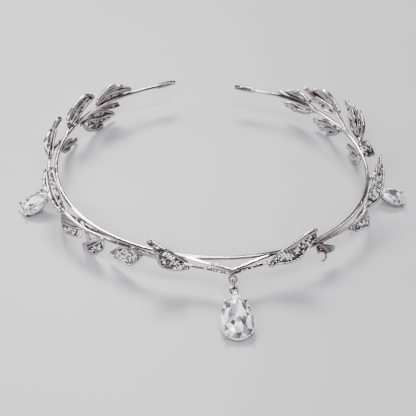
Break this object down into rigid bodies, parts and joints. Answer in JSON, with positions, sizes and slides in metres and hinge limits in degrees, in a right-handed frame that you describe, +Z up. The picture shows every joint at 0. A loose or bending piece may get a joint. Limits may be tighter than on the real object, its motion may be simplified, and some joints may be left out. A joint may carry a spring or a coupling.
{
  "type": "open leaf-vine crown headband with stones",
  "caption": "Open circlet of a bent metal band and a leafy vine set with small clear stones, with a pointed brow and pear stone drops.",
  "frame": {"origin": "centre of the headband's oval, on the level of the surface that the crown lies on", "axes": "+Z up, +X to the side that is on the right in the picture, -Y towards the brow point at the front"},
  "size_m": [0.1749, 0.1584, 0.0277],
  "materials": {
    "plated_metal": "bright silver-toned plating over a cast alloy",
    "small_stone": "clear cut glass with a foiled back",
    "pear_stone": "clear cut crystal glass"
  },
  "bodies": {
    "root": {"vine_circlet": "plated_metal", "end_eye_left": "plated_metal", "end_eye_right": "plated_metal", "leaf_stones_left": "small_stone", "leaf_stones_right": "small_stone", "brow_stones": "small_stone", "jump_ring_front": "plated_metal", "jump_ring_left": "plated_metal", "jump_ring_right": "plated_metal", "drop_setting_front": "plated_metal", "drop_setting_left": "plated_metal", "drop_setting_right": "plated_metal", "drop_stone_front": "pear_stone", "drop_stone_left": "pear_stone", "drop_stone_right": "pear_stone"}
  },
  "joints": []
}
